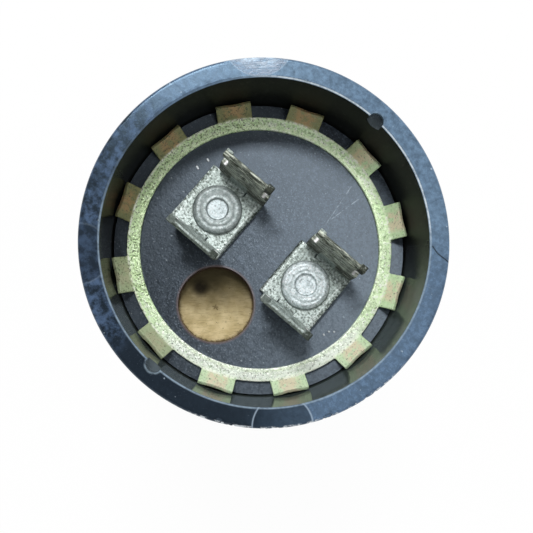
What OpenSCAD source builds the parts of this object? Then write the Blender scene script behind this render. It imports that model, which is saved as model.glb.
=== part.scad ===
// Motor start capacitor: moulded cup case, recessed terminal disc with vent,
// twelve-tab retaining ring and two double-blade terminals.
// Millimetres. Origin at the centre of the base, +Z up, +X through the two terminals.

/* [Case] */
// Outside diameter of the case
case_d = 36.5; // [34:0.5:50]
// Overall height, base to rim
case_h = 69.9; // [55:0.1:110]
// Wall around the recess, seen as the rim
rim_wall = 2.03; // [1.6:0.01:2.6]
// Depth of the recess, rim to disc
recess_depth = 9.5; // [8.5:0.1:14]
// Width of the inside shoulder that carries the seal
shoulder_w = 1.1; // [0.8:0.05:1.6]
// Thickness of the base
base_t = 3; // [2:0.1:5]
// Rounding of the base edge
base_edge_r = 1.2; // [0.4:0.1:1.8]
// Rounding of the outer rim edge
rim_edge_r = 0.3; // [0.1:0.05:0.6]
// Chamfer of the inner rim edge
rim_chamfer = 0.2; // [0.1:0.05:0.5]

/* [Rim notches and marks] */
// Diameter of the two key notches in the rim
notch_d = 1.65; // [1:0.05:2.2]
// How far a notch bites into the rim
notch_bite = 0.75; // [0.4:0.05:1.1]
// Depth of a notch to its full width
notch_depth = 1.7; // [0.8:0.1:4]
// Angle between the notch line and the Y axis
notch_turn = -1.75; // [-45:0.25:45]
// Point angle of the notch floor
notch_point = 118; // [90:1:150]
// Diameter of the ejector-pin marks on the rim
mark_d = 5.8; // [4:0.1:7]
// Depth of an ejector-pin mark
mark_depth = 0.06; // [0.02:0.01:0.15]
// Distance of a mark's centre from the outside of the case
mark_inset = 0.15; // [0:0.05:1]
// Number of ejector-pin marks
mark_count = 4; // [2:1:6]
// Angle of the first mark from the X axis
mark_turn = 45; // [0:1:90]

/* [Terminal disc and vent] */
// Thickness of the terminal disc
disc_t = 1.6; // [1.2:0.1:3]
// Gap between the disc and the case wall
disc_clear = 0.15; // [0.05:0.01:0.3]
// Diameter of the vent hole
vent_d = 8.35; // [5:0.05:9]
// Distance of the vent from the centre
vent_offset = 7.95; // [7:0.05:9]
// Angle of the vent from the -Y axis
vent_turn = 2; // [-8:0.5:8]
// Thickness of the vent diaphragm
diaphragm_t = 0.5; // [0.3:0.05:1]
// Overlap of the diaphragm around the vent
diaphragm_lap = 1.2; // [0.8:0.1:1.6]
// Thickness of the seal under the disc
seal_t = 1.2; // [0.8:0.1:2]

/* [Retaining ring] */
// Thickness of the ring sheet
ring_t = 0.5; // [0.3:0.05:0.8]
// Width of the flat band of the ring
ring_band = 1.4; // [1:0.05:2.4]
// Distance from the flat band to the case wall
ring_reach = 1.58; // [1.2:0.02:2]
// Number of spring tabs
tab_count = 12; // [8:1:14]
// Width of a spring tab
tab_w = 3.9; // [2.5:0.1:4.6]
// Slope of the tabs above the band
tab_slope = 52; // [30:1:65]
// Bend radius at the root of a tab
tab_bend_r = 0.4; // [0.2:0.05:0.8]
// Hollow of the gripping edge of a tab
tab_hollow = 0.22; // [0.1:0.01:0.4]
// Angle of the first tab from the X axis
tab_turn = 21.9; // [0:0.1:30]
// Gap left between the tab corners and the wall
tab_clear = 0.02; // [0.01:0.01:0.1]

/* [Terminals] */
// Distance between the two rivets
terminal_pitch = 12.7; // [12:0.1:14]
// Thickness of the terminal sheet
sheet_t = 0.8; // [0.5:0.05:1]
// Width of the terminal plate
plate_w = 7.1; // [6.5:0.05:8]
// Length of the terminal plate
plate_l = 7.2; // [7:0.1:8]
// Rounding of the rolled inner edge of the plate
plate_roll_r = 0.45; // [0.2:0.05:0.5]
// Inside radius of the bends
bend_r = 0.5; // [0.3:0.05:1]
// Thinning of the sheet in a bend, on each face
bend_draw = 0.03; // [0.02:0.01:0.06]
// Width of the neck that carries a blade
neck_w = 2.2; // [1.6:0.1:3]
// Distance from the end of the plate in to the bend of a neck
neck_in = 0.65; // [0.5:0.05:0.7]
// Width of the relief slot on each side of a neck
relief_w = 0.15; // [0.1:0.05:0.5]
// Width of a blade
blade_w = 6.35; // [6:0.05:6.5]
// Height of the blade tips above the disc
blade_h = 7.2; // [6.5:0.1:8.3]
// Outward lean of the blades from upright
blade_lean = 5.8; // [0:0.1:15]
// How far the blades of the left terminal stand toward +X from its middle
left_blade_set = 0.4; // [0:0.05:0.4]
// How far the blades of the right terminal stand toward +X from its middle
right_blade_set = 0.2; // [0:0.05:0.4]
// Drop of the blade's lower corners beside the neck
lobe_drop = 0.35; // [0.1:0.05:0.4]
// Rounding of the blade's lower corners
lobe_r = 0.85; // [0.3:0.05:1.2]
// Height of the side notches and the dimples above the disc
detent_h = 5.2; // [4.6:0.05:5.4]
// Diameter of the dimple in each face of a blade
dimple_d = 1.6; // [1:0.1:2.4]
// Depth of a dimple
dimple_depth = 0.2; // [0.1:0.02:0.24]
// Height of a side notch
side_notch_w = 2; // [1:0.05:2.2]
// Depth of a side notch
side_notch_depth = 0.8; // [0.6:0.05:0.9]
// Rounding of the inner corners of a side notch
side_notch_r = 0.3; // [0.1:0.05:0.4]
// Width of the full-thickness ear at each end of the tip
ear_w = 0.8; // [0.5:0.05:1]
// Thickness taken off each face at the tip, between the ears
tip_bevel = 0.28; // [0.1:0.02:0.3]
// Length of the bevel at the tip
tip_bevel_l = 0.9; // [0.3:0.05:1]

/* [Rivets] */
// Diameter of a rivet shank
rivet_d = 3.2; // [2.6:0.1:3.6]
// Diameter of the rolled head
rivet_head_d = 5.45; // [5:0.05:5.7]
// Height of the rolled head
rivet_head_h = 0.7; // [0.5:0.05:0.9]
// Rounding of the outer edge of the rolled head
rivet_edge_r = 0.6; // [0.3:0.05:0.65]
// Diameter of the flat cup inside the rolled head
rivet_cup_d = 2.3; // [1.8:0.05:2.6]
// Height of the floor of that cup above the terminal
rivet_cup_h = 0.4; // [0.1:0.05:0.45]
// Chamfer around the mouth of that cup
rivet_cup_chamfer = 0.12; // [0.05:0.01:0.2]
// Diameter of the flat head under the disc
rivet_foot_d = 5.2; // [4.6:0.1:5.6]
// Thickness of the flat head under the disc
rivet_foot_h = 0.8; // [0.5:0.1:1.2]
// Gap around the shank in the holes it passes through
rivet_clear = 0.05; // [0.02:0.01:0.15]
// Diameter of the washer under the disc
washer_d = 6; // [5.8:0.1:7]
// Thickness of the washer under the disc
washer_t = 0.6; // [0.4:0.1:1]

/* [Winding] */
// Thickness of the insulating pad on the base
pad_t = 1.5; // [0.8:0.1:3]
// Gap between the pad or wrap and the case bore
winding_gap = 0.2; // [0.1:0.05:0.5]
// Thickness of the paper wrap around the winding
wrap_t = 0.25; // [0.2:0.05:0.6]
// Gap between the wrap and the winding
wrap_clear = 0.05; // [0.02:0.01:0.1]
// How far the wrap stands above the winding
wrap_lip = 1.5; // [0.5:0.1:3]
// Diameter of the open core of the winding
core_d = 5; // [3:0.5:8]
// Room between the winding and the disc
head_room = 8; // [6:0.1:12]
// Width of a lead strip
lead_w = 4.6; // [4.2:0.1:5.4]
// Thickness of a lead strip
lead_t = 0.3; // [0.2:0.05:0.5]
// Bend radius of a lead strip
lead_bend_r = 0.6; // [0.3:0.1:1.2]
// Distance from a rivet to the lead bend
lead_reach = 3.8; // [3.2:0.1:5]

/* [Hidden] */
$fn = 96;

// A small amount by which cutters pass the faces they cut
over = 0.5;
case_r = case_d / 2;
recess_r = case_r - rim_wall;
bore_r = recess_r - shoulder_w;
disc_r = recess_r - disc_clear;
// Levels from the base upward
disc_top = case_h - recess_depth;
disc_low = disc_top - disc_t;
shoulder_z = disc_low - seal_t;
pad_top = base_t + pad_t;
winding_top = disc_low - head_room;
// Radii of the winding
wrap_r = bore_r - winding_gap;
winding_r = wrap_r - wrap_t - wrap_clear;
// Retaining ring
ring_outer_r = recess_r - ring_reach;
ring_inner_r = ring_outer_r - ring_band;
tab_tip_u = sqrt(pow(recess_r - tab_clear, 2) - pow(tab_w / 2, 2));
// Terminals, in a frame with its origin on the disc at the rivet
side = [-1, 1];
slot_x = neck_w / 2 + relief_w;
bend_y = plate_l / 2 - neck_in;
blade_y = bend_y + bend_r * cos(blade_lean);
blade_z = sheet_t + bend_r - bend_r * sin(blade_lean);
blade_len = (blade_h - blade_z) / cos(blade_lean);
detent_v = (detent_h - blade_z) / cos(blade_lean);
dimple_r = (pow(dimple_d / 2, 2) + pow(dimple_depth, 2)) / (2 * dimple_depth);
// Angle by which a bend runs on inside the plate and the blade
bend_lap = 5;
// Rivets
shank_hole_d = rivet_d + 2 * rivet_clear;
foot_top = -disc_t - lead_t - washer_t;

// Waste of a square corner of side r outside its rounding, corner at the origin, body toward -X -Y
module corner_waste(r) {
    translate([-r, -r]) difference() {
        square(r + over);
        circle(r);
    }
}

// Puts its children on the disc at the left (-1) or right (1) rivet
module at_rivet(s) {
    translate([s * terminal_pitch / 2, 0, disc_top]) children();
}

// Moves its children from the axis to the centre of the vent
module vent_place() {
    rotate(vent_turn) translate([0, -vent_offset]) children();
}

// Half section of the case before the notches are cut
module case_section() {
    difference() {
        square([case_r, case_h]);
        translate([case_r, case_h]) corner_waste(rim_edge_r);
        translate([case_r, 0]) mirror([0, 1]) corner_waste(base_edge_r);
        translate([0, base_t]) square([bore_r, case_h]);
        translate([0, shoulder_z]) square([recess_r, case_h]);
        translate([recess_r, case_h]) rotate(45) square(rim_chamfer * sqrt(2), center = true);
    }
}

// Cutter of one key notch: a drilled hole with a pointed floor, on the +Y side of the rim
module rim_notch() {
    point_h = notch_d / 2 / tan(notch_point / 2);
    translate([0, recess_r + notch_bite - notch_d / 2, case_h - notch_depth]) {
        cylinder(d = notch_d, h = notch_depth + over);
        translate([0, 0, -point_h]) cylinder(d1 = 0, d2 = notch_d, h = point_h);
    }
}

// Cutter of one shallow ejector-pin mark, on the +X side of the rim
module pin_mark() {
    translate([case_r - mark_inset, 0, case_h - mark_depth]) cylinder(d = mark_d, h = mark_depth + over);
}

// Moulded cup with a recess, a shoulder for the seal, two key notches and the pin marks
module case() {
    color("#2a2c33") difference() {
        rotate_extrude() case_section();
        for (turn = [0, 180]) rotate(turn + notch_turn) rim_notch();
        for (i = [0 : mark_count - 1]) rotate(mark_turn + i * 360 / mark_count) pin_mark();
    }
}

// Insulating card pad on the floor of the case
module base_pad() {
    color("#8a6f4a") translate([0, 0, base_t]) cylinder(r = bore_r - winding_gap, h = pad_t);
}

// Wound foil and paper, one roll with an open core
module winding() {
    color("#b8ad98") translate([0, 0, pad_top]) linear_extrude(winding_top - pad_top) difference() {
        circle(winding_r);
        circle(d = core_d);
    }
}

// Paper wrap around the winding
module winding_wrap() {
    color("#a98d5e") translate([0, 0, pad_top]) linear_extrude(winding_top + wrap_lip - pad_top) difference() {
        circle(wrap_r);
        circle(wrap_r - wrap_t);
    }
}

// Rubber seal between the shoulder and the disc
module seal_ring() {
    color("#1d1d1f") translate([0, 0, shoulder_z]) linear_extrude(seal_t) difference() {
        circle(disc_r);
        circle(bore_r);
    }
}

// Phenolic disc with the vent and two rivet holes
module terminal_disc() {
    color("#3c3d47") translate([0, 0, disc_low]) linear_extrude(disc_t) difference() {
        circle(disc_r);
        vent_place() circle(d = vent_d);
        for (s = side) translate([s * terminal_pitch / 2, 0]) circle(d = shank_hole_d);
    }
}

// Fibre diaphragm bonded under the vent
module vent_diaphragm() {
    color("#a5854f") translate([0, 0, disc_low - diaphragm_t]) vent_place()
        cylinder(d = vent_d + 2 * diaphragm_lap, h = diaphragm_t);
}

// Section of a spring tab across its bend: u outward along X, height along Y
module tab_section() {
    bend_u = ring_outer_r - tab_bend_r * sin(tab_slope);
    root_z = ring_t + tab_bend_r;
    slope_u = bend_u + (tab_bend_r + ring_t) * sin(tab_slope);
    tab_len = (tab_tip_u - slope_u) / cos(tab_slope);
    lead_in = min(ring_band / 2, tab_bend_r + ring_t);
    translate([bend_u - lead_in, 0]) square([lead_in, ring_t]);
    translate([bend_u, root_z]) intersection() {
        difference() {
            circle(tab_bend_r + ring_t);
            circle(tab_bend_r);
        }
        polygon([[0, 0], [0, -2 * root_z], [2 * root_z * tan(tab_slope / 2), -2 * root_z],
                 2 * root_z * [sin(tab_slope), -cos(tab_slope)]]);
    }
    translate([bend_u, root_z]) rotate(tab_slope) {
        translate([0, -tab_bend_r - ring_t]) square([tab_len, ring_t]);
        // The middle of the sheet runs on into the bend, so that band and tab are one piece
        translate([0, -tab_bend_r - ring_t / 2]) square(ring_t / 2, center = true);
    }
}

// One spring tab on the +X side, its gripping edge hollowed between two corners
module spring_tab() {
    hollow_r = (pow(tab_w / 2, 2) + pow(tab_hollow, 2)) / (2 * tab_hollow);
    difference() {
        rotate([90, 0, 0]) linear_extrude(tab_w, center = true) tab_section();
        translate([tab_tip_u, 0, (tab_tip_u - ring_outer_r) * tan(tab_slope)]) rotate([0, -tab_slope, 0])
            translate([hollow_r - tab_hollow, 0, 0]) cylinder(r = hollow_r, h = 4 * ring_t, center = true);
    }
}

// Push-in ring that holds the disc: a flat band with sprung tabs that grip the wall
module retaining_ring() {
    color("#b9c48a") translate([0, 0, disc_top]) {
        linear_extrude(ring_t) difference() {
            circle(ring_outer_r);
            circle(ring_inner_r);
        }
        for (i = [0 : tab_count - 1]) rotate(tab_turn + i * 360 / tab_count) spring_tab();
    }
}

// Cutter of the notch in the right-hand edge of a blade, its inner corners rounded
module side_notch() {
    translate([blade_w / 2 - side_notch_depth, detent_v - side_notch_w / 2]) {
        translate([side_notch_r, 0]) square([side_notch_depth, side_notch_w]);
        for (v = [side_notch_r, side_notch_w - side_notch_r]) translate([side_notch_r, v]) circle(side_notch_r);
        translate([0, side_notch_r]) square([side_notch_depth, side_notch_w - 2 * side_notch_r]);
    }
}

// Outline of a blade: X across, Y along the blade from the end of its bend, with the neck at neck_x
module blade_outline(neck_x) {
    half = blade_w / 2;
    difference() {
        union() {
            translate([-half, 0]) square([blade_w, blade_len]);
            for (s = side) translate([s < 0 ? -half : neck_x + slot_x, -lobe_drop])
                square([half - slot_x - s * neck_x, 2 * lobe_drop]);
        }
        for (s = side) mirror([s < 0 ? 1 : 0, 0]) {
            translate([half, -lobe_drop]) mirror([0, 1]) corner_waste(lobe_r);
            side_notch();
        }
    }
}

// Cutter of the bevel on one face of a blade: X through the sheet, Y along the blade
module bevel_section() {
    polygon([[-tip_bevel, blade_len - 2 * tip_bevel_l], [2 * tip_bevel, blade_len + tip_bevel_l],
             [-tip_bevel, blade_len + tip_bevel_l]]);
}

// One blade with the neck that carries it, on the +Y side of the plate, its middle at shift along X
module blade(shift) {
    translate([0, bend_y, sheet_t + bend_r]) rotate([0, 90, 0]) rotate(-bend_lap)
        rotate_extrude(angle = 90 - blade_lean + 2 * bend_lap)
            translate([bend_r + bend_draw, -neck_w / 2]) square([sheet_t - 2 * bend_draw, neck_w]);
    translate([shift, blade_y, blade_z]) rotate([-blade_lean, 0, 0]) difference() {
        translate([0, sheet_t, 0]) rotate([90, 0, 0]) linear_extrude(sheet_t) blade_outline(-shift);
        rotate([90, 0, 90]) linear_extrude(blade_w - 2 * ear_w, center = true) {
            bevel_section();
            translate([sheet_t, 0]) mirror([1, 0]) bevel_section();
        }
        for (face = [dimple_depth - dimple_r, sheet_t - dimple_depth + dimple_r])
            translate([0, face, detent_v]) sphere(dimple_r);
    }
}

// Flat of a terminal, with a rolled inner edge and a cut-out at each end for the neck
module terminal_plate() {
    difference() {
        rotate([90, 0, 0]) linear_extrude(plate_l, center = true) difference() {
            translate([-plate_w / 2, 0]) square([plate_w, sheet_t]);
            translate([plate_w / 2, sheet_t]) corner_waste(plate_roll_r);
        }
        for (turn = [0, 180]) rotate(turn) translate([-slot_x, bend_y, -over])
            cube([2 * slot_x, neck_in + over, sheet_t + 2 * over]);
    }
}

// Folded terminal: a riveted plate with a blade at each end, both moved by shift along X
module terminal(shift) {
    color("#a9ada4") difference() {
        union() {
            terminal_plate();
            for (s = side) rotate(s < 0 ? 180 : 0) blade(s * shift);
        }
        translate([0, 0, -over]) cylinder(d = shank_hole_d, h = sheet_t + 2 * over);
    }
}

// Half section of a rivet, its zero on top of the disc
module rivet_section() {
    translate([0, foot_top]) square([rivet_d / 2, sheet_t - foot_top + rivet_cup_h / 2]);
    translate([0, foot_top - rivet_foot_h]) square([rivet_foot_d / 2, rivet_foot_h]);
    translate([0, sheet_t]) difference() {
        square([rivet_head_d / 2, rivet_head_h]);
        translate([rivet_head_d / 2, rivet_head_h]) corner_waste(rivet_edge_r);
        translate([0, rivet_cup_h]) square([rivet_cup_d / 2, rivet_head_h]);
        translate([rivet_cup_d / 2, rivet_head_h]) rotate(45) square(rivet_cup_chamfer * sqrt(2), center = true);
    }
}

// Rivet with a rolled head on the terminal and a flat head under the disc
module rivet() {
    color("#c9ccca") rotate_extrude() rivet_section();
}

// Washer between a lead strip and the flat head of a rivet
module rivet_washer() {
    color("#b4b6b5") translate([0, 0, foot_top]) linear_extrude(washer_t) difference() {
        circle(d = washer_d);
        circle(d = shank_hole_d);
    }
}

// Lead strip: clamped under the disc, then bent down to the end of the winding
module lead_strip() {
    leg_top = disc_t + lead_t + lead_bend_r;
    color("#d2d4d4") difference() {
        union() {
            translate([-lead_w / 2, -washer_d / 2, -disc_t - lead_t])
                cube([lead_w, washer_d / 2 + lead_reach, lead_t]);
            translate([0, lead_reach, -leg_top]) rotate([0, -90, 0]) rotate_extrude(angle = 90)
                translate([lead_bend_r, -lead_w / 2]) square([lead_t, lead_w]);
            translate([-lead_w / 2, lead_reach + lead_bend_r, winding_top - disc_top])
                cube([lead_w, lead_t, disc_top - winding_top - leg_top]);
        }
        translate([0, 0, -disc_t - lead_t - over]) cylinder(d = shank_hole_d, h = lead_t + 2 * over);
    }
}

case();
base_pad();
winding();
winding_wrap();
seal_ring();
vent_diaphragm();
terminal_disc();
retaining_ring();
at_rivet(-1) lead_strip();  // lead_strip_left
at_rivet(1) lead_strip();  // lead_strip_right
at_rivet(-1) rivet_washer();  // rivet_washer_left
at_rivet(1) rivet_washer();  // rivet_washer_right
at_rivet(-1) terminal(left_blade_set);  // terminal_left
at_rivet(1) rotate(180) terminal(-right_blade_set);  // terminal_right
at_rivet(-1) rivet();  // rivet_left
at_rivet(1) rivet();  // rivet_right
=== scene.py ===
"""Looks of a motor start capacitor, seen almost straight down into its terminal end."""

import math

import bmesh
import bpy
from mathutils import Matrix, Quaternion, Vector, noise

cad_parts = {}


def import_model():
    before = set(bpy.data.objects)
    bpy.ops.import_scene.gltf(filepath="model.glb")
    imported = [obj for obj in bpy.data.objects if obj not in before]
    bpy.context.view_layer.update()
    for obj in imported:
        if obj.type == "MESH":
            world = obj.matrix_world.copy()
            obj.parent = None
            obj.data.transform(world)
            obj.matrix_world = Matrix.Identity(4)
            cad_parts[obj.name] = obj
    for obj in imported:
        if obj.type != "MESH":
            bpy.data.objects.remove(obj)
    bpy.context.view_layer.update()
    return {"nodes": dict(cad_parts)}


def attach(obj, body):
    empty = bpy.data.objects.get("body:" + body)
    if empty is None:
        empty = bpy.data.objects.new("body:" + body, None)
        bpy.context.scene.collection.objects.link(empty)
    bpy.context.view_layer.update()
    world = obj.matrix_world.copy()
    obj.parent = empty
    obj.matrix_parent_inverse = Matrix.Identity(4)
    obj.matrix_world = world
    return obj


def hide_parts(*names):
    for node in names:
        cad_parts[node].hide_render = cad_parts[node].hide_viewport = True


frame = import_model()

MM = 0.001
SIDES = ("left", "right")

# Sizes of the part as the solids have them: lengths in millimetres, turns in degrees around the axis
CASE_TOP = 69.9
CASE_R = 18.25
RECESS_R = 16.22
BORE_R = 15.12
SHOULDER_Z = 57.6
BASE_T = 3.0
BASE_EDGE_R = 1.2
RIM_EDGE_R = 0.3
RIM_CHAMFER = 0.2
NOTCH_R = 0.825
NOTCH_AT = 16.145
NOTCH_DEPTH = 1.7
NOTCH_TIP = 0.496
NOTCH_TURNS = (88.25, 268.25)
MARK_R = 2.9
MARK_AT = 18.1
MARK_DEPTH = 0.06
MARK_TURNS = (45, 135, 225, 315)
DISC_TOP = 60.4
VENT_CENTRE = (0.277, -7.945)
VENT_R = 4.175
RING_R = 13.24
TAB_ROOT_R = 14.6
TAB_COUNT = 12
TAB_TURN = 21.9
RIVET_X = 6.35
RIVET_HEAD_R = 2.725
PLATE_HALF = 3.55
NECK_HALF = 1.1
LEDGE_Z = 64.6
BLADE_TOP = 67.6
BLADE_MIDDLES = (-5.95, 6.55)
BLADE_LEAN = math.radians(5.8)

# Where the inner face of a leaning blade leaves its fold, and where it would meet the base
FOLD_Y = 3.447
FOLD_Z = 61.649
BLADE_FOOT = FOLD_Y - FOLD_Z * math.tan(BLADE_LEAN)

# Marks of handling on the case, with its painted sheen, highlights and reflection: sectors from one bearing
# to another in degrees, lengths in millimetres
SHEEN_AND_HAZE = (322, 520)
SHEEN_BRIGHTEST = (50, 128)
SCUFFED = (172, 248)
CHIPPED = (285, 352)
MIRRORING_WALL = (255, 375)
POLISHED = (215, 380)
LIP_HIGHLIGHT = (215, 490)
LIP_GLINT = (410, 485)
RUBBED_R = 3.4
RUBBED_AT = 19.7
RUBBED_TURN = 133
DULL_MARK_TURN = 225
GLOSSY_MARK_TURN = 315
CRACK = (((12.9, 10.25), (13.75, 10.02)), ((13.75, 10.02), (15.16, 10.09)))

# Wear of the rim's two edges, in millimetres: how far from the edge it reaches, and its greatest depth
NICK_REACH = 0.42
NICK_DEPTH = 0.28
RIPPLE_REACH = 0.30
RIPPLE_DEPTH = 0.05

# Marks on the ring, and where it is painted lit or shaded, as sectors in degrees
PITTED = (140, 235)
SHADED = (82, 180)
LIT_RING = (272, 352)
SHADED_TABS = (95, 215)
DIMMED_TABS = (222, 272)

# Marks on the disc and the diaphragm, and the sides on which sheen and shadow are painted: bearings in
# degrees, and lines between places in millimetres
LAMINATE_LAY = 170
SHEEN_SIDE = 5
SHADOW_SIDE = 131
DARK_PATCH = (-2.29, -7.57)
SCRATCHES = (
    ((3.21, 12.1), (3.78, 6.85)),
    ((4.76, 11.4), (3.83, 7.45)),
)
CRUMBS = (
    ((-10.95, 3.70), (-10.75, 3.63)),
    ((-11.30, 2.30), (-11.05, 2.22)),
    ((11.50, -2.75), (11.58, -2.77)),
    ((11.73, -2.14), (11.78, -2.12)),
    ((12.20, -1.77), (12.26, -1.76)),
)
PRICKED = (
    ((0.15, -8.32), (0.62, -8.02)),
    ((0.30, -7.98), (0.42, -8.42)),
    ((0.40, -8.2), (0.78, -8.25)),
)

# Fineness of the worn meshes: voxel in millimetres with passes of smoothing, and steps around the case
TERMINAL_WEAR = (0.06, 4)
RIVET_WEAR = (0.06, 3)
RING_WEAR = (0.085, 3)
CASE_STEPS = 720
SHARP_EDGE = math.radians(32)

# Brightness of the room, where 1 is white: as light on the part, and overhead in its reflections,
# which darken between two heights on a sky of radius 1
AMBIENT = 0.75
ZENITH = 0.05
OVERHEAD = (0.38, 0.78)

# The key lamp: bearing and tilt off the upright in degrees, distance and size in metres
KEY_TURN = 140
KEY_TILT = 29
KEY_DISTANCE = 0.40
KEY_SIZE = (0.120, 0.045)
KEY_RADIANCE = 51

# A soft box beside the camera: its near edge keeps the view straight up dark in reflections
PANEL_PLACE = (0.0764, 0.0498, 0.37)
PANEL_SIZE = (0.15, 0.11)
PANEL_TURN = -35
PANEL_RADIANCE = 1.6

# The photograph's camera: lens and sensor in millimetres, places in metres
LENS = 47.48
SENSOR = 36
CLIP = (0.005, 20)
EYE = (0.00038, -0.00881, 0.13796)
FORWARD = (0.0181, 0.0985, -0.9950)
ROLL = 40.5

# The floor: half its width in metres, and how much of it glows white for the camera
FLOOR_HALF = 3.0
FLOOR_GLOW = 0.95


def around(radius, degrees):
    """Place at a bearing around the axis."""
    turn = math.radians(degrees)
    return (radius * math.cos(turn), radius * math.sin(turn))


def reach(x, y, degrees):
    """Distance of a place from the axis in one direction around it."""
    turn = math.radians(degrees)
    return x * math.cos(turn) + y * math.sin(turn)


class Nodes:
    """A node tree that is written as expressions."""

    def __init__(self, tree):
        self.tree = tree

    def node(self, kind, *values, **settings):
        """A node with its settings, and with values or links in its first inputs."""
        made = self.tree.nodes.new("ShaderNode" + kind)
        for key, value in settings.items():
            setattr(made, key, value)
        for socket, value in zip(made.inputs, values):
            self.feed(socket, value)
        return made

    def feed(self, socket, value):
        """Links an output to a socket, or sets a number, vector or colour on it."""
        if isinstance(value, bpy.types.NodeSocket):
            self.tree.links.new(value, socket)
        elif socket.type == "RGBA":
            socket.default_value = (*value, 1)
        else:
            socket.default_value = value

    def calc(self, operation, *values):
        return self.node("Math", *values, operation=operation).outputs[0]

    def product(self, first, *others):
        for other in others:
            first = self.calc("MULTIPLY", first, other)
        return first

    def either(self, first, *others):
        """The largest of several shares."""
        for other in others:
            first = self.calc("MAXIMUM", first, other)
        return first

    def seen(self):
        """1 for what the camera, a mirror or glass sees, 0 for light on its way to a surface."""
        path = self.node("LightPath").outputs
        return self.either(path["Is Camera Ray"], path["Is Glossy Ray"], path["Is Transmission Ray"])


class Shade(Nodes):
    """A material in the part's own millimetres, whose colour is laid on coat by coat."""

    def __init__(self, name):
        self.material = bpy.data.materials.new(name)
        self.material.use_nodes = True
        super().__init__(self.material.node_tree)
        self.tree.nodes.clear()
        self.shader = self.node("BsdfPrincipled")
        self.output = self.node("OutputMaterial", self.shader.outputs[0])
        place = self.node("TexCoord").outputs["Object"]
        self.mm = self.stretch(place, (1000, 1000, 1000))
        self.x, self.y, self.z = self.node("SeparateXYZ", self.mm).outputs
        self.r = self.away(0, 0)
        bearing = self.calc("DEGREES", self.calc("ARCTAN2", self.y, self.x))
        self.turn = self.calc("FLOORED_MODULO", bearing, 360)
        self.colour = None

    def ground(self, share, low, high):
        """The first colour, from low to high as share goes from 0 to 1."""
        self.colour = self.blend(share, low, high)

    def coat(self, tint, *shares):
        """Lays a tint over the colour, as thick as the product of some shares."""
        self.colour = self.blend(self.product(*shares), self.colour, tint)

    def set(self, **sockets):
        """Joins the colour and other inputs to the shader, and gives the material."""
        self.feed(self.shader.inputs["Base Color"], self.colour)
        for name, value in sockets.items():
            self.feed(self.shader.inputs[name.replace("_", " ")], value)
        return self.material

    def blend(self, share, below, above):
        made = self.node("Mix", data_type="RGBA")
        self.feed(made.inputs[0], share)
        self.feed(made.inputs[6], below)
        self.feed(made.inputs[7], above)
        return made.outputs[2]

    def stretch(self, vector, scale):
        return self.node("VectorMath", vector, scale, operation="MULTIPLY").outputs[0]

    def level(self, share, low, high):
        """A number from low to high as share goes from 0 to 1."""
        return self.calc("MULTIPLY_ADD", share, high - low, low)

    def raised(self, value, share, amount):
        """A number that rises by an amount as share goes from 0 to 1."""
        return self.calc("MULTIPLY_ADD", share, amount, value)

    def span(self, value, low, high):
        """Rises smoothly from 0 at low to 1 at high."""
        return self.node("MapRange", value, low, high, interpolation_type="SMOOTHSTEP").outputs[0]

    def line(self, value, centre, half):
        """1 at centre, falling to 0 at half a width on both sides."""
        gap = self.calc("ABSOLUTE", self.calc("SUBTRACT", value, centre))
        return self.span(gap, half, 0)

    def length(self, across, along):
        square = self.calc("MULTIPLY_ADD", across, across, self.product(along, along))
        return self.calc("SQRT", square)

    def away(self, x, y):
        """Distance from the upright line through x, y."""
        return self.length(self.calc("SUBTRACT", self.x, x), self.calc("SUBTRACT", self.y, y))

    def toward(self, degrees):
        """Distance from the axis in one direction around it."""
        turn = math.radians(degrees)
        return self.raised(self.product(self.y, math.sin(turn)), self.x, math.cos(turn))

    def sector(self, start, end, soft):
        """1 between two bearings around the axis, in degrees, with soft ends."""
        past = self.calc("FLOORED_MODULO", self.calc("SUBTRACT", self.turn, start - soft), 360)
        width = end - start + 2 * soft
        return self.product(self.span(past, 0, soft), self.span(past, width, width - soft))

    def stroke(self, start, end, half):
        """1 on the line from start to end, seen along the axis, falling to 0 at half a width."""
        run = (end[0] - start[0], end[1] - start[1])
        square = run[0] ** 2 + run[1] ** 2
        across = self.calc("SUBTRACT", self.x, start[0])
        along = self.calc("SUBTRACT", self.y, start[1])
        share = self.raised(self.product(along, run[1] / square), across, run[0] / square)
        share = self.node("Clamp", share).outputs[0]
        across = self.raised(across, share, -run[0])
        along = self.raised(along, share, -run[1])
        return self.span(self.length(across, along), half, 0)

    def strokes(self, lines, half):
        return self.either(*(self.stroke(start, end, half) for start, end in lines))

    def combed(self, degrees, along, across):
        """Coordinates that stretch a noise into strands at a bearing, seen along the axis."""
        first = self.product(self.toward(degrees), along)
        second = self.product(self.toward(degrees + 90), across)
        return self.node("CombineXYZ", first, second, self.z).outputs[0]

    def noise(self, scale, detail=4, roughness=0.55, vector=None):
        made = self.node("TexNoise")
        self.feed(made.inputs["Vector"], vector or self.mm)
        made.inputs["Scale"].default_value = scale
        made.inputs["Detail"].default_value = detail
        made.inputs["Roughness"].default_value = roughness
        return made.outputs[0]

    def bump(self, height, depth, under=None):
        """Surface normal of a relief that is depth millimetres high."""
        made = self.node("Bump")
        made.inputs["Strength"].default_value = 1
        made.inputs["Distance"].default_value = depth * MM
        self.feed(made.inputs["Height"], height)
        if under:
            self.feed(made.inputs["Normal"], under)
        return made.outputs[0]


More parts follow.
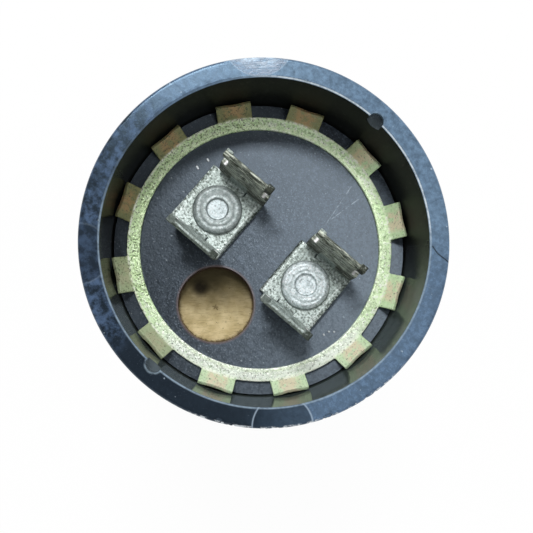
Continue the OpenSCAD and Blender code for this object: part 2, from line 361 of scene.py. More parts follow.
def moulding():
    """Dark moulded resin: hazed and scratched on the rim, with painted sheen, highlights and a glint on it;
    satin outside.
    """
    s = Shade("case_moulding")
    rim = s.span(s.z, CASE_TOP - 0.45, CASE_TOP - 0.15)
    patch = s.noise(1.7, 8, 0.7)
    fine = s.noise(9, 4, 0.6)
    s.ground(s.noise(0.35, 5), (0.006, 0.009, 0.013), (0.012, 0.017, 0.025))
    drawn, handled = outside_wall(s, patch)
    haze_and_sheen = hazed_rim_with_sheen(s, rim, patch, fine)
    scratched = rubbed_mark(s, rim)
    gloss = other_marks(s, rim)
    edge_wear_and_highlights(s, rim, patch)
    rough = s.raised(s.level(patch, 0.15, 0.30), haze_and_sheen, 0.06)
    rough = s.raised(rough, gloss, -0.06)
    rough = s.raised(rough, handled, 0.22)
    normal = s.bump(patch, 0.012, s.bump(fine, 0.004, s.bump(drawn, 0.03)))
    return s.set(
        Roughness=rough,
        Specular_IOR_Level=0.6,
        Specular_Tint=(0.52, 0.77, 1.0),
        Normal=s.bump(scratched, 0.02, normal),
    )


def outside_wall(s, patch):
    """Faint draw lines, a few scuffs and nicks; gives the lines' height and the scuffs."""
    wall = s.span(s.z, CASE_TOP - 0.4, CASE_TOP - 0.9)
    drawn = s.noise(1.0, 5, 0.7, s.stretch(s.mm, (1.8, 1.8, 0.05)))
    s.coat((0.030, 0.044, 0.062), wall, s.span(drawn, 0.45, 0.70), 0.5)
    handled = s.product(wall, s.span(s.noise(0.16, 7, 0.68), 0.50, 0.68), s.span(patch, 0.34, 0.62))
    s.coat((0.055, 0.076, 0.104), handled, 0.6)
    nick = s.noise(1.0, 3, 0.6, s.stretch(s.mm, (1.1, 1.1, 2.6)))
    s.coat((0.16, 0.19, 0.22), wall, s.span(nick, 0.70, 0.75), 0.7)
    return s.product(drawn, wall), handled


def hazed_rim_with_sheen(s, rim, patch, fine):
    """Haze of handling on the rim, laid thick as painted sheen on the side that mirrors the lit room, and
    paler still in one sector; gives the haze with its sheen.
    """
    # Painted sheen: the haze is thickest in the sector of the rim that mirrors the lit room, and palest in
    # a narrower sector
    worn = s.sector(*SHEEN_AND_HAZE, 20)
    haze_and_sheen = s.product(rim, s.level(worn, 0.04, 1.0), s.level(s.span(patch, 0.30, 0.70), 0.35, 0.80))
    brighter_sheen = s.sector(*SHEEN_BRIGHTEST, 25)
    s.coat(s.blend(brighter_sheen, (0.112, 0.182, 0.290), (0.158, 0.250, 0.370)), haze_and_sheen)
    scuff = s.span(s.noise(0.9, 7, 0.72), 0.40, 0.66)
    s.coat((0.066, 0.106, 0.185), rim, s.sector(*SCUFFED, 12), scuff, 0.9)
    scrape = s.span(s.noise(1.0, 5, 0.7, s.combed(100, 6.0, 0.7)), 0.58, 0.70)
    s.coat((0.20, 0.27, 0.36), scrape, worn, rim, 0.35)
    s.coat((0.25, 0.33, 0.42), rim, s.span(fine, 0.64, 0.74), 0.35)
    dust = s.span(s.noise(1.6, 2, 0.5), 0.72, 0.77)
    s.coat((0.40, 0.48, 0.56), rim, dust, 0.7)
    return haze_and_sheen


def rubbed_mark(s, rim):
    """The ejector-pin mark that is scratched, with a painted glint in its middle; gives the scratches'
    height.
    """
    rubbed = s.away(*around(RUBBED_AT, RUBBED_TURN))
    flat_scratch = s.span(s.noise(1.0, 6, 0.7, s.combed(41, 0.9, 7.5)), 0.48, 0.60)
    steep_scratch = s.span(s.noise(1.3, 6, 0.7, s.combed(75, 0.9, 7.5)), 0.50, 0.62)
    scratch = s.either(flat_scratch, steep_scratch)
    within = s.span(rubbed, RUBBED_R + 0.04, RUBBED_R - 0.12)
    rubbing = s.product(rim, within, s.level(scratch, 0.15, 0.95))
    s.coat((0.40, 0.46, 0.56), rubbing)
    # Streaks in the middle of the mark: scratches laid pale as a painted glint
    streak = s.span(s.noise(1.1, 6, 0.72, s.combed(43, 0.7, 6.0)), 0.44, 0.56)
    s.coat((0.62, 0.72, 0.82), rim, s.span(rubbed, RUBBED_R - 0.2, RUBBED_R - 1.6), streak, 0.85)
    s.coat((0.42, 0.49, 0.57), rim, s.line(rubbed, RUBBED_R, 0.11), 0.35)
    return s.product(rubbing, scratch)


def other_marks(s, rim):
    """The other ejector-pin marks: one glossy, one dull, one cracked along its outline; gives the gloss."""
    dull = s.away(*around(MARK_AT, DULL_MARK_TURN))
    glossy = s.away(*around(MARK_AT, GLOSSY_MARK_TURN))
    gloss = s.product(rim, s.span(glossy, MARK_R, MARK_R - 0.1))
    s.coat((0.014, 0.022, 0.034), gloss, 0.75)
    s.coat((0.012, 0.018, 0.030), rim, s.span(dull, MARK_R, MARK_R - 0.1), 0.5)
    outline = s.either(
        s.product(s.line(glossy, MARK_R + 0.05, 0.13), 0.75),
        s.product(s.line(dull, MARK_R, 0.16), 0.12),
    )
    s.coat((0.30, 0.37, 0.45), rim, outline)
    s.coat((0.002, 0.002, 0.003), rim, s.strokes(CRACK, 0.13))
    return gloss


def edge_wear_and_highlights(s, rim, patch):
    """Paler resin along the edges of the rim and its key notches, with a painted highlight along the inner
    edge of the rim.
    """
    ragged = s.span(patch, 0.35, 0.6)
    # Painted highlight along the inner edge of the rim over a faint worn line, strongest in one sector
    inner = s.product(s.line(s.r, RECESS_R + 0.08, 0.14), s.span(s.z, CASE_TOP - 0.4, CASE_TOP - 0.1))
    bright = s.product(s.sector(*LIP_HIGHLIGHT, 20), s.level(ragged, 0.40, 1.0))
    s.coat((0.26, 0.34, 0.42), inner, s.level(bright, 0.15, 0.9))
    # Palest painted highlight on the inner edge, in a narrower sector
    bare = s.product(s.line(s.r, RECESS_R + 0.09, 0.09), s.sector(*LIP_GLINT, 12), rim)
    s.coat((0.70, 0.76, 0.80), bare, s.level(ragged, 0.3, 1.0))
    notch = s.calc("MINIMUM", *(s.away(*around(NOTCH_AT, turn)) for turn in NOTCH_TURNS))
    lip = s.product(s.line(notch, NOTCH_R + 0.06, 0.20), s.level(s.span(s.y, 1, -1), 0.25, 0.75))
    s.coat((0.20, 0.26, 0.31), lip, s.span(patch, 0.35, 0.55))
    hollow = s.span(notch, NOTCH_R + 0.06, NOTCH_R)
    s.coat((0.085, 0.100, 0.105), hollow, s.span(s.z, CASE_TOP - 0.5, CASE_TOP - 1.6), 0.8)
    outer = s.product(s.span(s.r, CASE_R - 0.28, CASE_R - 0.1), s.span(s.z, CASE_TOP - 0.7, CASE_TOP - 0.3))
    s.coat((0.55, 0.58, 0.60), outer, s.sector(*CHIPPED, 8), s.span(s.noise(1.5, 6, 0.75), 0.50, 0.60))


def recess_wall():
    """The same resin inside the recess: black, smooth enough to mirror the ring, and painted lighter on one
    side as a reflection.
    """
    s = Shade("case_recess_wall")
    cloud = s.noise(0.5, 5)
    rub = s.noise(1.0, 6, 0.7, s.stretch(s.mm, (1.2, 1.2, 0.25)))
    s.ground(cloud, (0.004, 0.0045, 0.004), (0.009, 0.010, 0.009))
    # Painted reflection: a lighter colour on the sector of the wall that mirrors the lit ring
    wall_reflection = s.blend(cloud, (0.036, 0.050, 0.046), (0.078, 0.096, 0.090))
    s.coat(wall_reflection, s.sector(*MIRRORING_WALL, 25))
    s.coat((0.035, 0.038, 0.035), s.span(rub, 0.58, 0.72), 0.4)
    speck = s.span(s.noise(2.4, 3, 0.6), 0.64, 0.72)
    s.coat((0.075, 0.066, 0.058), speck, 0.6)
    rough = s.raised(s.level(rub, 0.28, 0.38), s.sector(*POLISHED, 30), -0.22)
    return s.set(Roughness=rough, IOR=1.12, Normal=s.bump(rub, 0.006))


def phenolic():
    """Punched laminate: slate grey with a fine fleck, painted lighter on one side as sheen and darker on
    the other as shade, brown where it is cut through.
    """
    s = Shade("disc_phenolic")
    grain = s.noise(4.8, 4, 0.75)
    mottle = s.noise(2.2, 4, 0.65)
    blotch = s.noise(1.1, 5, 0.65)
    s.ground(s.noise(0.4, 5), (0.006, 0.009, 0.014), (0.010, 0.014, 0.022))
    s.coat((0.060, 0.075, 0.105), s.span(blotch, 0.50, 0.64), 0.6)
    s.coat((0.060, 0.076, 0.104), s.span(mottle, 0.50, 0.66), 0.6)
    s.coat((0.185, 0.222, 0.270), s.span(grain, 0.53, 0.65), 0.85)
    s.coat((0.006, 0.008, 0.012), s.span(grain, 0.49, 0.38), 0.85)
    # Painted sheen and shade: lighter towards one side of the disc, darker towards the other
    toward_sheen = s.toward(SHEEN_SIDE)
    s.coat((0.004, 0.006, 0.010), s.span(toward_sheen, 1, -11), 0.65)
    s.coat((0.105, 0.130, 0.160), s.span(toward_sheen, -5, 13), s.level(s.span(mottle, 0.36, 0.60), 0.35, 0.75))
    dust = s.span(s.noise(2.9, 2, 0.5), 0.69, 0.76)
    s.coat((0.40, 0.45, 0.48), dust, 0.6)
    crumb = disc_marks(s)
    relief = s.bump(grain, 0.018, s.bump(mottle, 0.014, s.bump(blotch, 0.014)))
    return s.set(
        Roughness=s.level(grain, 0.28, 0.62),
        Specular_IOR_Level=0.9,
        IOR=1.64,
        Specular_Tint=(0.70, 0.85, 1.0),
        Anisotropic=0.88,
        Tangent=s.node("CombineXYZ", *around(1, LAMINATE_LAY), 0).outputs[0],
        Normal=s.bump(crumb, 0.10, relief),
    )


def disc_marks(s):
    """Scratches and crumbs on the disc, and the brown cut edge of its vent; gives the crumbs."""
    broken = s.span(s.noise(2.5, 4), 0.38, 0.62)
    s.coat((0.46, 0.52, 0.57), s.strokes(SCRATCHES, 0.08), broken, 0.7)
    crumb = s.span(s.strokes(CRUMBS, 0.20), 0.25, 0.7)
    s.coat((0.86, 0.90, 0.92), crumb, s.level(s.span(s.x, 2, -2), 0.55, 1.0))
    cut = s.span(s.away(*VENT_CENTRE), VENT_R + 0.30, VENT_R + 0.04)
    s.coat((0.13, 0.075, 0.062), cut, 0.8)
    return crumb


def fibre_board():
    """Tan pressed fibre of the vent diaphragm, with painted shadow from one side, a dark patch and a
    pricked centre.
    """
    s = Shade("diaphragm_fibre")
    cloud = s.noise(0.7, 5)
    fibre = s.noise(1.0, 6, 0.75, s.combed(131, 5.0, 0.9))
    s.ground(s.span(cloud, 0.3, 0.7), (0.53, 0.42, 0.21), (0.74, 0.61, 0.35))
    s.coat((0.26, 0.20, 0.085), s.span(fibre, 0.48, 0.66), 0.45)

    # Painted shadow from the side where the vent's wall shades the diaphragm, with a darker patch in it
    inward = s.calc("SUBTRACT", s.toward(SHADOW_SIDE), reach(*VENT_CENTRE, SHADOW_SIDE))
    inward = s.raised(inward, s.noise(0.8, 4), 1.6)
    s.coat((0.040, 0.033, 0.014), s.span(inward, -2.4, 4.0), 0.97)
    dark_patch = s.span(s.away(*DARK_PATCH), 1.35, 0.35)
    s.coat((0.012, 0.009, 0.005), dark_patch, s.span(cloud, 0.22, 0.45), 0.95)

    # A dark, ragged edge against the vent, and pricks in the middle
    ragged = s.raised(s.away(*VENT_CENTRE), s.noise(2.2, 4, 0.7), 0.7)
    s.coat((0.050, 0.030, 0.018), s.span(ragged, VENT_R + 0.05, VENT_R + 0.35), 0.85)
    speck = s.span(s.noise(2.6, 3), 0.66, 0.72)
    s.coat((0.085, 0.060, 0.026), s.either(s.strokes(PRICKED, 0.13), speck), 0.7)
    return s.set(Roughness=0.8, Specular_IOR_Level=0.15, Normal=s.bump(fibre, 0.06))


def passivated():
    """Passivated spring steel: pale green with black pits; rougher where the tabs were bent, and less
    metallic there and on the shaded side.
    """
    s = Shade("ring_plated_steel")
    shaded = s.sector(*SHADED, 20)
    dense = s.sector(*PITTED, 20)
    mottle = s.noise(2.8, 5, 0.7)
    grain = s.noise(4.6, 5, 0.75)
    ring_flat(s, shaded, dense, mottle, grain)
    ring_tabs(s, mottle, grain)
    streak = s.noise(1.0, 5, 0.7, s.stretch(s.mm, (3, 3, 0.8)))
    s.coat((0.40, 0.37, 0.20), s.span(streak, 0.52, 0.72), 0.30)
    pit = s.span(s.raised(grain, dense, 0.04), 0.57, 0.65)
    s.coat((0.045, 0.055, 0.030), pit, 0.85)
    bent = s.span(s.r, TAB_ROOT_R - 0.6, TAB_ROOT_R)
    clear = s.either(bent, s.product(shaded, 0.85))
    return s.set(
        Metallic=s.level(clear, 0.26, 0.05),
        Roughness=s.raised(s.level(mottle, 0.18, 0.36), bent, 0.25),
        Normal=s.bump(pit, -0.03, s.bump(mottle, 0.08)),
    )


def ring_flat(s, shaded, dense, mottle, grain):
    """The ring's flat: painted lighter on its lit side and yellower on the other, with pale flecks, and
    painted highlights along its edges that are strongest where it is shaded.
    """
    s.ground(s.noise(0.45, 4), (0.64, 0.92, 0.46), (0.86, 1.0, 0.72))
    # Painted light: the lit side of the ring is laid whiter
    s.coat((0.94, 1.0, 0.93), s.sector(*LIT_RING, 20), 0.85)
    s.coat((0.64, 0.86, 0.44), dense, 0.65)
    # Pale flecks, more of them in the shaded sector as painted glints
    fleck = s.span(s.raised(mottle, shaded, 0.03), 0.50, 0.62)
    s.coat((0.96, 1.0, 0.91), fleck, s.level(dense, 0.85, 0.4))
    s.coat((0.24, 0.38, 0.17), s.span(mottle, 0.45, 0.34), 0.65)
    # Painted highlights along the inner edge and the bend, strongest in the shaded sector, with a darker
    # band between them there
    edges = s.either(s.line(s.r, RING_R + 0.25, 0.28), s.line(s.r, TAB_ROOT_R - 0.12, 0.22))
    streaky = s.product(s.level(shaded, 0.55, 1.0), s.span(mottle, 0.38, 0.54))
    s.coat((0.84, 1.0, 0.66), edges, streaky)
    between = s.line(s.r, RING_R + 0.80, 0.42)
    s.coat((0.19, 0.32, 0.12), between, shaded, s.span(grain, 0.44, 0.56), 0.45)


def ring_tabs(s, mottle, grain):
    """The ring's tabs: green at the sides and tan in the middle, with painted shade on the tabs of the
    shaded side and a painted highlight along their bend.
    """
    step = 360 / TAB_COUNT
    past = s.calc("FLOORED_MODULO", s.calc("SUBTRACT", s.turn, TAB_TURN - step / 2), step)
    beside = s.calc("ABSOLUTE", s.calc("SUBTRACT", past, step / 2))
    tab = s.product(s.span(s.r, TAB_ROOT_R - 0.3, TAB_ROOT_R + 0.15), s.span(beside, 8.5, 7.5))
    s.coat(s.blend(mottle, (0.42, 0.66, 0.31), (0.80, 0.95, 0.64)), tab, 0.8)
    middle = s.product(tab, s.span(beside, 5.6, 2.8), s.span(s.noise(1.3, 4, 0.6), 0.36, 0.56))
    s.coat((0.90, 0.70, 0.53), middle, 0.65)
    # Painted shade: brown and dark on the tabs on the side that the wall shadows
    tab_shade = s.blend(middle, (0.23, 0.22, 0.095), (0.40, 0.26, 0.115))
    s.coat(tab_shade, tab, s.sector(*SHADED_TABS, 20), s.level(s.span(grain, 0.62, 0.50), 0.6, 0.95))
    # Painted shade, lighter, on the tabs next to them
    s.coat((0.34, 0.38, 0.23), tab, s.sector(*DIMMED_TABS, 8), 0.75)
    # Painted highlight along the bend at the root of the tabs
    s.coat((1.0, 1.0, 0.94), s.line(s.r, TAB_ROOT_R - 0.10, 0.16), s.span(mottle, 0.44, 0.54), 0.7)


def tinned():
    """Hot-tinned sheet with a coarse frosted grain, olive on the upright blades."""
    s = Shade("terminal_tinned")
    grain = s.noise(4.0, 5, 0.72)
    crease = s.noise(1.0, 7, 0.75, s.stretch(s.mm, (0.9, 5.0, 5.0)))
    from_rivet = s.calc("ABSOLUTE", s.calc("SUBTRACT", s.calc("ABSOLUTE", s.x), RIVET_X))
    far = s.span(s.y, 0.2, -0.2)
    plate_faces(s, grain, from_rivet)
    blade = blade_faces(s, crease, from_rivet, far)
    blade_ends(s, grain, far, blade)
    return s.set(
        Metallic=0.65,
        Roughness=s.raised(s.level(grain, 0.28, 0.44), blade, 0.1),
        Normal=s.bump(grain, 0.05, s.bump(crease, 0.04)),
    )


def plate_faces(s, grain, from_rivet):
    """The plates: frosted, darker along the side edges with dirt and painted shade, with a painted
    highlight on a ridge inside the edges and a painted reflection on one side.
    """
    s.ground(s.span(grain, 0.34, 0.58), (0.092, 0.118, 0.100), (0.53, 0.62, 0.59))
    s.coat((0.88, 0.95, 0.93), s.span(grain, 0.55, 0.68), 0.85)
    s.coat((0.06, 0.075, 0.055), s.span(s.noise(0.8, 4), 0.55, 0.30), 0.30)
    # Dirt and painted shade along the side edges, where the sheet meets the disc
    edge = s.span(from_rivet, PLATE_HALF - 0.40, PLATE_HALF - 0.10)
    s.coat((0.030, 0.040, 0.028), edge, s.span(grain, 0.62, 0.46), 0.8)
    # Painted highlight on a ridge just inside the edge
    ridge_highlight = s.line(from_rivet, PLATE_HALF - 0.52, 0.16)
    s.coat((0.86, 0.94, 0.91), ridge_highlight, s.span(grain, 0.40, 0.52), 0.6)
    # Painted reflection: lighter low down on the far side of the plates
    plate_reflection = s.product(s.span(s.y, -1.0, -2.6), s.span(s.z, DISC_TOP + 2.4, DISC_TOP + 1.8))
    s.coat((0.92, 1.0, 0.98), plate_reflection, s.span(grain, 0.38, 0.54), 0.3)


def blade_faces(s, crease, from_rivet, far):
    """The blades: a bright neck, dull and streaked on their inner faces, with painted shade on the lobes
    beside the neck and a lighter painted colour on the far blades; gives where they are.
    """
    beside = s.span(from_rivet, NECK_HALF - 0.1, NECK_HALF + 0.15)
    blade = s.span(s.raised(s.z, beside, 1.5), DISC_TOP + 2.3, DISC_TOP + 3.1)
    slant = s.raised(s.calc("ABSOLUTE", s.y), s.z, -math.tan(BLADE_LEAN))
    outside = s.span(slant, BLADE_FOOT + 0.45, BLADE_FOOT + 0.65)
    far_tip = s.product(s.span(s.z, BLADE_TOP - 0.9, BLADE_TOP - 0.7), far)
    bare = s.either(outside, far_tip)
    streaked = s.blend(s.span(crease, 0.43, 0.62), (0.036, 0.040, 0.024), (0.70, 0.75, 0.64))
    # Painted shade low on the lobes beside the neck
    lobe_shade = s.product(beside, s.span(s.z, DISC_TOP + 4.0, DISC_TOP + 2.4), s.span(crease, 0.66, 0.48))
    streaked = s.blend(s.product(lobe_shade, 0.95), streaked, (0.020, 0.014, 0.007))
    # Painted light: the far blades are laid a lighter silver than the near ones
    lit_blade = s.blend(s.span(crease, 0.42, 0.58), (0.22, 0.27, 0.25), (0.90, 1.0, 0.96))
    streaked = s.blend(s.product(far, 0.8), streaked, lit_blade)
    s.coat(streaked, blade, s.level(bare, 0.92, 0.15))
    return blade


def blade_ends(s, grain, far, blade):
    """Painted shade on one end of each tip, darker ends on the far tips, and painted highlights on the
    ledges at the foot of the side notches.
    """
    sides = [s.calc("SUBTRACT", s.x, middle) for middle in BLADE_MIDDLES]
    tip = s.span(s.z, LEDGE_Z + 1.4, LEDGE_Z + 1.7)
    # Painted shade on the end of each tip that faces away from the key lamp
    shaded_end = s.either(*(s.product(s.span(x, 2.25, 2.5), s.span(x, 3.7, 3.5)) for x in sides))
    s.coat((0.020, 0.024, 0.015), shaded_end, tip, s.span(grain, 0.68, 0.52), 0.95)
    outermost = s.calc("MINIMUM", *(s.calc("ABSOLUTE", x) for x in sides))
    s.coat((0.055, 0.070, 0.058), s.span(outermost, 2.2, 2.45), tip, far, 0.75)
    # Painted highlight on the ledges at the foot of the side notches
    s.coat((1.0, 1.0, 1.0), s.line(outermost, 2.62, 0.32), s.line(s.z, LEDGE_Z, 0.22), blade)


def rolled_aluminium():
    """Rivet metal: a bright cup, and a duller flange with the faint grooves of the rolling tool."""
    s = Shade("rivet_aluminium")
    near = s.calc("MINIMUM", s.away(-RIVET_X, 0), s.away(RIVET_X, 0))
    mottle = s.noise(2.2, 6, 0.75)
    fine = s.noise(4.2, 4, 0.7)
    wobble = s.raised(near, s.noise(1.1, 3), 0.35)
    flange = s.span(near, 1.05, 1.35)
    left = s.span(s.x, 1, -1)
    s.ground(flange, (0.60, 0.69, 0.71), s.blend(left, (0.58, 0.67, 0.68), (0.42, 0.49, 0.48)))
    s.coat((0.88, 0.97, 1.0), s.span(mottle, 0.46, 0.57), s.level(left, 0.86, 0.45))
    frost = s.product(s.span(s.noise(6.0, 3, 0.6), 0.52, 0.62), s.span(mottle, 0.40, 0.52))
    s.coat((1.0, 1.0, 1.0), frost, s.level(left, 0.65, 0.4))
    s.coat((0.22, 0.27, 0.27), s.span(mottle, 0.46, 0.36), 0.6)
    s.coat((0.15, 0.18, 0.18), s.span(fine, 0.46, 0.36), 0.7)
    band = s.either(s.product(s.line(wobble, 2.0, 0.36), 0.8), s.product(s.line(wobble, 2.65, 0.25), 0.6))
    s.coat((0.15, 0.18, 0.175), band, s.level(left, 0.2, 0.85))
    # Painted shade in the step round the cup, and round the edge of the head where it meets the plate
    cup_shade = s.product(s.line(near, 1.16, 0.12), s.level(left, 0.25, 0.65))
    rim = s.product(s.span(near, RIVET_HEAD_R - 0.22, RIVET_HEAD_R), 0.65)
    s.coat((0.07, 0.08, 0.07), s.either(cup_shade, rim))
    groove = s.product(s.calc("SINE", s.product(wobble, 14)), flange)
    return s.set(
        Metallic=0.55,
        Roughness=s.level(fine, 0.40, 0.60),
        Normal=s.bump(groove, 0.012, s.bump(mottle, 0.06)),
    )


def plain_inside(name, low, high, scale, roughness, metallic=0.0):
    """Finish of a piece that the closed case hides: mottled, with a fine relief."""
    s = Shade(name)
    mottle = s.noise(scale, 5)
    s.ground(mottle, low, high)
    return s.set(Roughness=roughness, Metallic=metallic, Normal=s.bump(mottle, 0.02))


def placed(name, data):
    """A new object in the scene."""
    made = bpy.data.objects.new(name, data)
    bpy.context.scene.collection.objects.link(made)
    return made


def applied(piece):
    """The mesh that a piece's modifiers make, which takes the place of its own."""
    depsgraph = bpy.context.evaluated_depsgraph_get()
    mesh = bpy.data.meshes.new_from_object(piece.evaluated_get(depsgraph))
    piece.modifiers.clear()
    piece.data = mesh
    return mesh


def softened(node, voxel, passes):
    """A copy of a CAD node with the slightly rounded edges of a stamped part."""
    mesh = frame["nodes"][node].data.copy()
    mesh.transform(Matrix.Scale(1 / MM, 4))
    piece = placed(node + "_worn", mesh)
    remesh = piece.modifiers.new("remesh", "REMESH")
    remesh.mode = "VOXEL"
    remesh.voxel_size = voxel
    remesh.use_smooth_shade = True
    smooth = piece.modifiers.new("smooth", "SMOOTH")
    smooth.iterations = passes
    applied(piece).transform(Matrix.Scale(MM, 4))
    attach(piece, "root")
    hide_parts(node)
    return piece


def edge_arc(centre_r, centre_z, radius, start, end, steps):
    """Points of a rounded edge in the half section of the case, between two angles in degrees."""
    points = []
    for step in range(steps + 1):
        side, up = around(radius, start + (end - start) * step / steps)
        points.append((centre_r + side, centre_z + up))
    return points


def ladder(start, end, steps):
    """Points between two corners of the half section, the ends left out."""
    return [
        tuple(a + (b - a) * step / steps for a, b in zip(start, end))
        for step in range(1, steps)
    ]


def case_section():
    """Half section of the case from the middle of its base, round the rim, to the inside floor."""
    outer = edge_arc(CASE_R - BASE_EDGE_R, BASE_EDGE_R, BASE_EDGE_R, -90, 0, 8)
    rim = edge_arc(CASE_R - RIM_EDGE_R, CASE_TOP - RIM_EDGE_R, RIM_EDGE_R, 0, 90, 8)
    lip = (RECESS_R + RIM_CHAMFER, CASE_TOP)
    wall_top = (RECESS_R, CASE_TOP - RIM_CHAMFER)
    wall_foot = (RECESS_R, SHOULDER_Z)
    shoulder = (BORE_R, SHOULDER_Z)
    bore_foot = (BORE_R, BASE_T)
    return [
        *ladder((0, 0), outer[0], 6),
        *outer,
        *ladder(outer[-1], rim[0], 40),
        *rim,
        *ladder(rim[-1], lip, 10),
        lip,
        *ladder(lip, wall_top, 3),
        wall_top,
        *ladder(wall_top, wall_foot, 12),
        wall_foot,
        shoulder,
        *ladder(shoulder, bore_foot, 8),
        bore_foot,
        *ladder(bore_foot, (0, BASE_T), 5),
    ]


def chipped(x, y, z):
    """Wears a point of the case: nicks along the outer rim edge, a slight ripple along the inner one."""
    radius = math.hypot(x, y)
    turn = math.degrees(math.atan2(y, x)) % 360
    share = (turn - CHIPPED[0]) / (CHIPPED[1] - CHIPPED[0])
    battered = max(0, min(1, 5 * share, 5 * (1 - share)))
    place = Vector((x * 1.4, y * 1.4, 0))
    nick = max(0, noise.fractal(place, 0.9, 2.0, 4) - 0.10) * battered
    outer = max(0, 1 - math.hypot(radius - CASE_R, z - CASE_TOP) / NICK_REACH)
    inner = max(0, 1 - math.hypot(radius - RECESS_R, z - CASE_TOP) / RIPPLE_REACH)
    ripple = RIPPLE_DEPTH * inner * noise.noise(place * 0.7)
    bite = min(NICK_DEPTH, 0.75 * nick) * outer + ripple
    shrink = 1 - bite / radius
    return (x * shrink, y * shrink, z - 0.8 * abs(bite))


def lathe(name, section, segments, shape):
    """A closed mesh turned about the axis, its two ends drawn to a point there."""
    points = [(0, 0, section[0][1])]
    for radius, z in section:
        for step in range(segments):
            x, y = around(radius, 360 * step / segments)
            points.append(shape(x, y, z))
    points.append((0, 0, section[-1][1]))
    faces = []
    last = len(points) - 1
    for step in range(segments):
        after = (step + 1) % segments
        faces.append((0, 1 + after, 1 + step))
        for row in range(len(section) - 1):
            low = 1 + row * segments
            high = low + segments
            faces.append((low + step, low + after, high + after, high + step))
        top = 1 + (len(section) - 1) * segments
        faces.append((top + step, top + after, last))
    mesh = bpy.data.meshes.new(name)
    mesh.from_pydata(points, [], faces)
    return mesh


def drill(mesh, x, y, low, high, radius, point, sides=64):
    """Adds an upright cutter to a bmesh, with a pointed lower end where point is above 0."""
    ring = [around(radius, 360 * step / sides) for step in range(sides)]
    foot = [mesh.verts.new((x + a, y + b, low)) for a, b in ring]
    top = [mesh.verts.new((x + a, y + b, high)) for a, b in ring]
    tip = mesh.verts.new((x, y, low - point))
    mesh.faces.new(top)
    for step in range(sides):
        after = (step + 1) % sides
        mesh.faces.new((foot[step], foot[after], top[after], top[step]))
        mesh.faces.new((tip, foot[after], foot[step]))


def rim_cutters():
    """The two key notches and the four pin marks, as one cutter."""
    above = CASE_TOP + 1
    shapes = bmesh.new()
    for turn in NOTCH_TURNS:
        drill(shapes, *around(NOTCH_AT, turn), CASE_TOP - NOTCH_DEPTH, above, NOTCH_R, NOTCH_TIP)
    for turn in MARK_TURNS:
        drill(shapes, *around(MARK_AT, turn), CASE_TOP - MARK_DEPTH, above, MARK_R, 0, 96)
    mesh = bpy.data.meshes.new("rim_cutters")
    shapes.to_mesh(mesh)
    shapes.free()
    return placed("rim_cutters", mesh)


def worn_case():
    """The moulded cup with the nicks and ripples of its worn rim."""
    piece = placed("case_worn", lathe("case_worn", case_section(), CASE_STEPS, chipped))
    cutter = rim_cutters()
    cut = piece.modifiers.new("cut", "BOOLEAN")
    cut.object = cutter
    cut.solver = "EXACT"
    mesh = applied(piece)
    bpy.data.objects.remove(cutter)
    mesh.materials.clear()
    mesh.materials.append(moulding())
    mesh.materials.append(recess_wall())
    for face in mesh.polygons:
        face.use_smooth = True
        radius = math.hypot(face.center.x, face.center.y)
        below_lip = SHOULDER_Z < face.center.z < CASE_TOP - RIM_CHAMFER
        face.material_index = int(below_lip and abs(radius - RECESS_R) < 0.02)
    mesh.set_sharp_from_angle(angle=SHARP_EDGE)
    mesh.transform(Matrix.Scale(MM, 4))
    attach(piece, "root")
    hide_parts("case")


def dress(obj, material):
    """Gives a piece its only material."""
    obj.data.materials.clear()
    obj.data.materials.append(material)


def dress_node(node, material):
    """Puts a material into a CAD node's own slots."""
    for holder in frame["nodes"][node].material_slots:
        holder.material = material


def dress_hidden():
    """Finishes of the pieces that the closed case hides."""
    card = plain_inside("card", (0.30, 0.22, 0.13), (0.40, 0.30, 0.18), 1.2, 0.8)
    paper = plain_inside("winding_paper", (0.45, 0.36, 0.22), (0.58, 0.48, 0.31), 0.8, 0.6)
    wrap = plain_inside("wrap_paper", (0.40, 0.30, 0.16), (0.50, 0.39, 0.22), 0.6, 0.7)
    rubber = plain_inside("seal_rubber", (0.012, 0.012, 0.013), (0.022, 0.022, 0.023), 2, 0.6)
    lead = plain_inside("lead_aluminium", (0.62, 0.63, 0.64), (0.75, 0.76, 0.77), 3, 0.4, 0.9)
    washer = plain_inside("washer_aluminium", (0.60, 0.61, 0.62), (0.72, 0.73, 0.74), 3, 0.4, 0.9)
    dress_node("base_pad", card)
    dress_node("winding", paper)
    dress_node("winding_wrap", wrap)
    dress_node("seal_ring", rubber)
    for side in SIDES:
        dress_node("lead_strip_" + side, lead)
        dress_node("rivet_washer_" + side, washer)


def build():
    """The worn pieces that stand for CAD nodes, and the materials of the other nodes."""
    tin = tinned()
    rivet = rolled_aluminium()
    for side in SIDES:
        dress(softened("terminal_" + side, *TERMINAL_WEAR), tin)
        dress(softened("rivet_" + side, *RIVET_WEAR), rivet)
    dress(softened("retaining_ring", *RING_WEAR), passivated())
    worn_case()
    dress_node("terminal_disc", phenolic())
    dress_node("vent_diaphragm", fibre_board())
    dress_hidden()


def area_lamp(name, place, target, size, radiance):
    """A rectangular soft box that shows as bright as radiance, where 1 is white."""
    light = bpy.data.lights.new(name, "AREA")
    light.shape = "RECTANGLE"
    light.size, light.size_y = size
    light.energy = radiance * math.pi * size[0] * size[1]
    lamp = placed(name, light)
    lamp.location = place
    lamp.visible_camera = False
    lamp.rotation_euler = (Vector(target) - Vector(place)).to_track_quat("-Z", "Y").to_euler()
    return lamp


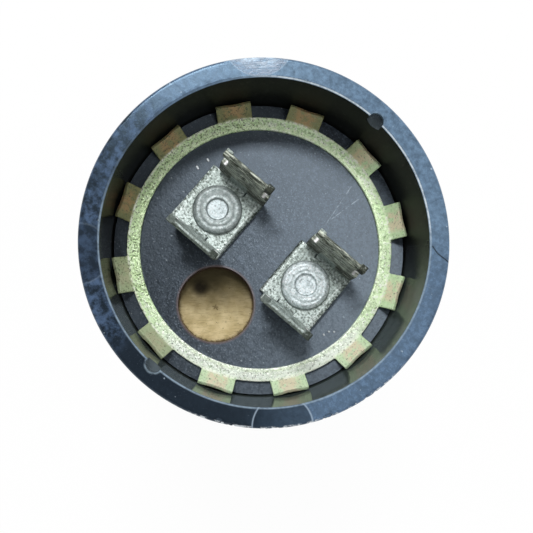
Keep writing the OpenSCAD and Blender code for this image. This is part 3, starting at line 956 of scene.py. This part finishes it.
def lights():
    """A narrow key lamp on one side, and a larger, weaker panel beside the camera."""
    tilt = math.radians(KEY_TILT)
    middle = DISC_TOP * MM
    side = around(KEY_DISTANCE * math.sin(tilt), KEY_TURN)
    key_place = (*side, middle + KEY_DISTANCE * math.cos(tilt))
    area_lamp("key", key_place, (0, 0, middle), KEY_SIZE, KEY_RADIANCE)
    panel = area_lamp("panel", PANEL_PLACE, (*PANEL_PLACE[:2], 0), PANEL_SIZE, PANEL_RADIANCE)
    panel.rotation_euler.z = math.radians(PANEL_TURN)


def world():
    """An even light on the part; in view and in reflections white, and dark overhead."""
    made = bpy.data.worlds.new("studio")
    made.use_nodes = True
    n = Nodes(made.node_tree)
    height = n.node("SeparateXYZ", n.node("TexCoord").outputs["Generated"]).outputs[2]
    dome = n.node("MapRange", height, *OVERHEAD, 1.0, ZENITH, interpolation_type="SMOOTHSTEP")
    pick = n.node("Mix", data_type="FLOAT")
    n.feed(pick.inputs[0], n.seen())
    n.feed(pick.inputs[2], AMBIENT)
    n.feed(pick.inputs[3], dome.outputs[0])
    back = n.tree.nodes["Background"]
    n.feed(back.inputs["Color"], (1, 1, 1))
    n.feed(back.inputs["Strength"], pick.outputs[0])
    bpy.context.scene.world = made


def floor():
    """A plain pale sheet that shows white, and keeps the object's shadow."""
    mesh = bpy.data.meshes.new("floor")
    corners = [(FLOOR_HALF * x, FLOOR_HALF * y, 0) for x, y in ((-1, -1), (1, -1), (1, 1), (-1, 1))]
    mesh.from_pydata(corners, [], [(0, 1, 2, 3)])
    plane = placed("floor", mesh)
    s = Shade("floor_paper")
    s.ground(s.noise(0.02, 3), (0.84, 0.84, 0.84), (0.88, 0.88, 0.88))
    s.set(Roughness=0.9)
    glow = s.node("Emission", (1, 1, 1), 1.0)
    mixed = s.node("MixShader", s.product(s.seen(), FLOOR_GLOW), s.shader.outputs[0], glow.outputs[0])
    s.feed(s.output.inputs[0], mixed.outputs[0])
    mesh.materials.append(s.material)


def camera():
    """The photograph's view, almost straight down."""
    data = bpy.data.cameras.new("camera")
    data.lens = LENS
    data.sensor_width = SENSOR
    data.clip_start, data.clip_end = CLIP
    eye = placed("camera", data)
    tilt = Vector((0, 0, -1)).rotation_difference(Vector(FORWARD))
    turn = Quaternion((0, 0, 1), math.radians(ROLL))
    eye.rotation_mode = "QUATERNION"
    eye.rotation_quaternion = tilt @ turn
    eye.location = EYE
    bpy.context.scene.camera = eye


bpy.context.scene.view_settings.view_transform = "Standard"
build()
lights()
world()
floor()
camera()
